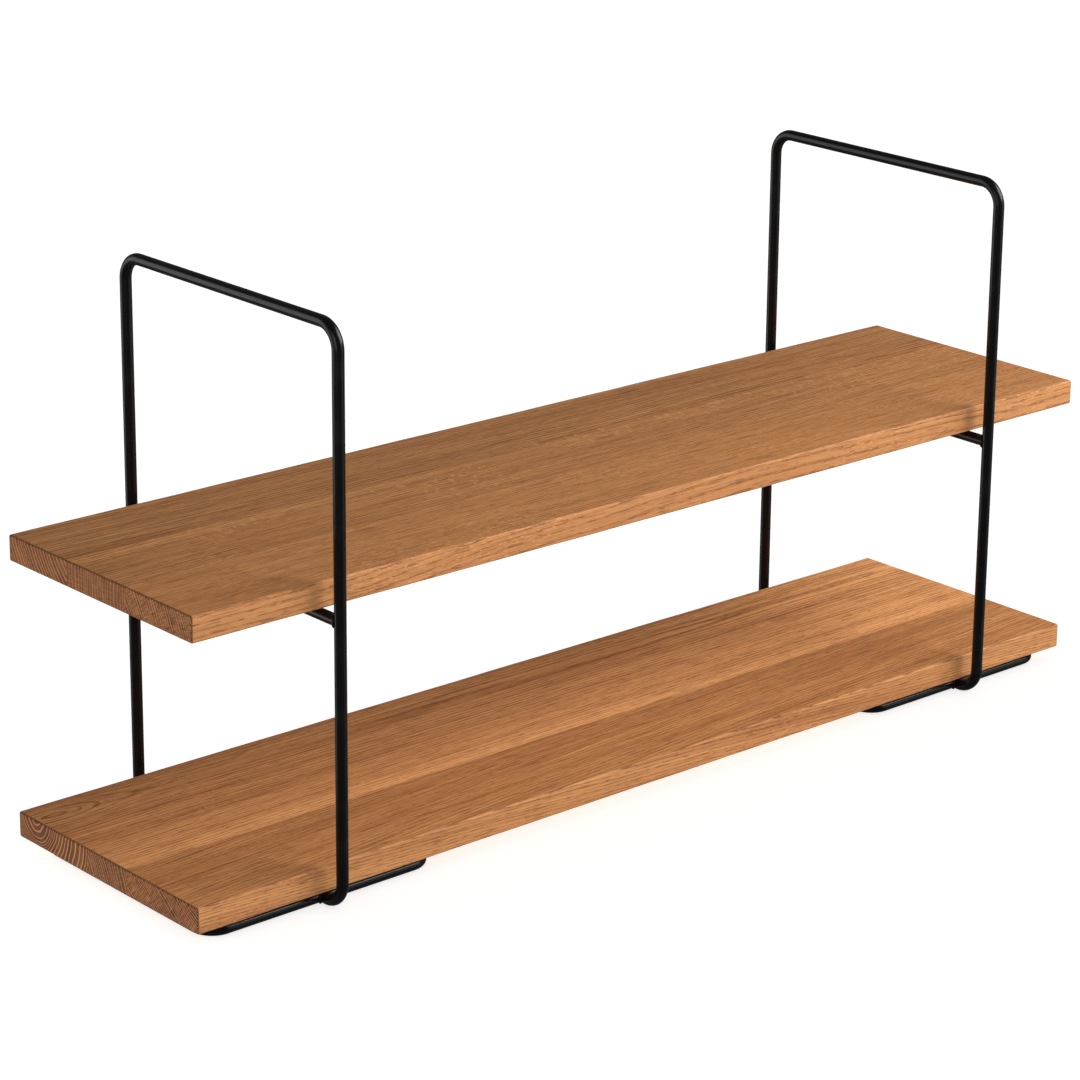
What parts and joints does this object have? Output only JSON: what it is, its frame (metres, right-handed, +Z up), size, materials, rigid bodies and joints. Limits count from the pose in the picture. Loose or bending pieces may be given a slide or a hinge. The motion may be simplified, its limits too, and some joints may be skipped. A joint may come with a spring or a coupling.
{
  "type": "wall shelf with brackets",
  "caption": "Two-tier wall shelf: edge-glued oak boards carried by a pair of bent black round-rod hoop brackets with flat looped feet.",
  "frame": {"origin": "bottom centre of the shelf's bounding box, under the middle of the lower board", "axes": "+X along the boards to the right seen from the front, +Y to the wall, +Z up"},
  "size_m": [0.8, 0.232, 0.39],
  "materials": {
    "upper_stave_back_oak": "oiled oak, satin, grain along the shelf",
    "upper_stave_middle_oak": "oiled oak, satin, grain along the shelf",
    "upper_stave_front_oak": "oiled oak, satin, grain along the shelf",
    "lower_stave_back_oak": "oiled oak, satin, grain along the shelf",
    "lower_stave_middle_oak": "oiled oak, satin, grain along the shelf",
    "lower_stave_front_oak": "oiled oak, satin, grain along the shelf",
    "coated_rod": "black powder coat, satin gloss",
    "coated_plate": "black powder coat on plate, satin gloss",
    "coated_weld": "black powder coat over weld, satin gloss",
    "saddle_nylon": "moulded black nylon, fine matt texture",
    "screw_zinc": "black zinc plate, satin"
  },
  "bodies": {
    "root": {"upper_stave_back": "upper_stave_back_oak", "upper_stave_middle": "upper_stave_middle_oak", "upper_stave_front": "upper_stave_front_oak", "lower_stave_back": "lower_stave_back_oak", "lower_stave_middle": "lower_stave_middle_oak", "lower_stave_front": "lower_stave_front_oak", "left_hoop": "coated_rod", "right_hoop": "coated_rod", "left_cross_rod": "coated_rod", "right_cross_rod": "coated_rod", "left_outer_foot": "coated_rod", "left_inner_foot": "coated_rod", "right_inner_foot": "coated_rod", "right_outer_foot": "coated_rod", "left_wall_plate": "coated_plate", "right_wall_plate": "coated_plate", "left_bracket_welds": "coated_weld", "right_bracket_welds": "coated_weld", "left_upper_front_saddle": "saddle_nylon", "left_upper_back_saddle": "saddle_nylon", "right_upper_front_saddle": "saddle_nylon", "right_upper_back_saddle": "saddle_nylon", "left_lower_front_saddle": "saddle_nylon", "left_lower_back_saddle": "saddle_nylon", "right_lower_front_saddle": "saddle_nylon", "right_lower_back_saddle": "saddle_nylon", "upper_saddle_screws": "screw_zinc", "lower_saddle_screws": "screw_zinc"}
  },
  "joints": []
}
